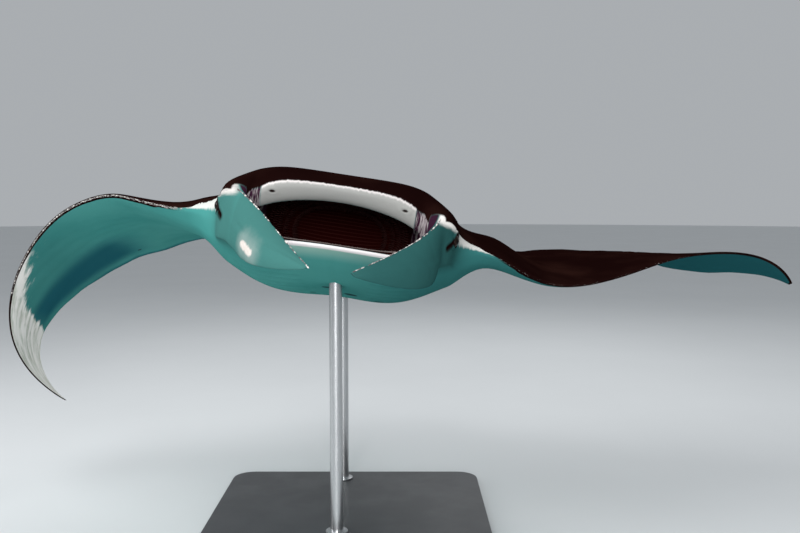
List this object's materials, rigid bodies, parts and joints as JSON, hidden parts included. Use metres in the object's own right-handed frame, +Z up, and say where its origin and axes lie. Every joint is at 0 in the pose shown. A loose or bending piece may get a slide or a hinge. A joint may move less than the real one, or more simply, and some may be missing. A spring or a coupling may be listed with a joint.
{
  "type": "manta ray model",
  "caption": "Life-size still model of a reef manta ray gliding with its mouth open, on a flat base with upright rods.",
  "frame": {"origin": "centre of the underside of the stand's base, which rests on the floor", "axes": "+Z up, -Y the way the animal faces, +X towards the animal's own left wing"},
  "size_m": [2.979, 3.1565, 1.2692],
  "materials": {
    "skin": "smooth skin with a soft wet sheen, near black above and pale below",
    "eye": "polished",
    "painted_base": "satin",
    "brushed_steel": "brushed"
  },
  "bodies": {
    "root": {"head": "skin", "lower_jaw": "skin", "cephalic_fin_left": "skin", "cephalic_fin_right": "skin", "eye_left": "eye", "eye_right": "eye", "trunk": "skin", "pectoral_fin_left_inner": "skin", "pectoral_fin_left_middle": "skin", "pectoral_fin_left_tip": "skin", "pectoral_fin_right_inner": "skin", "pectoral_fin_right_middle": "skin", "pectoral_fin_right_tip": "skin", "pelvic_fin_left": "skin", "pelvic_fin_right": "skin", "dorsal_fin": "skin", "tail_base": "skin", "tail_middle": "skin", "tail_tip": "skin", "stand_base": "painted_base", "stand_rod_front": "brushed_steel", "stand_rod_rear": "brushed_steel"}
  },
  "joints": []
}
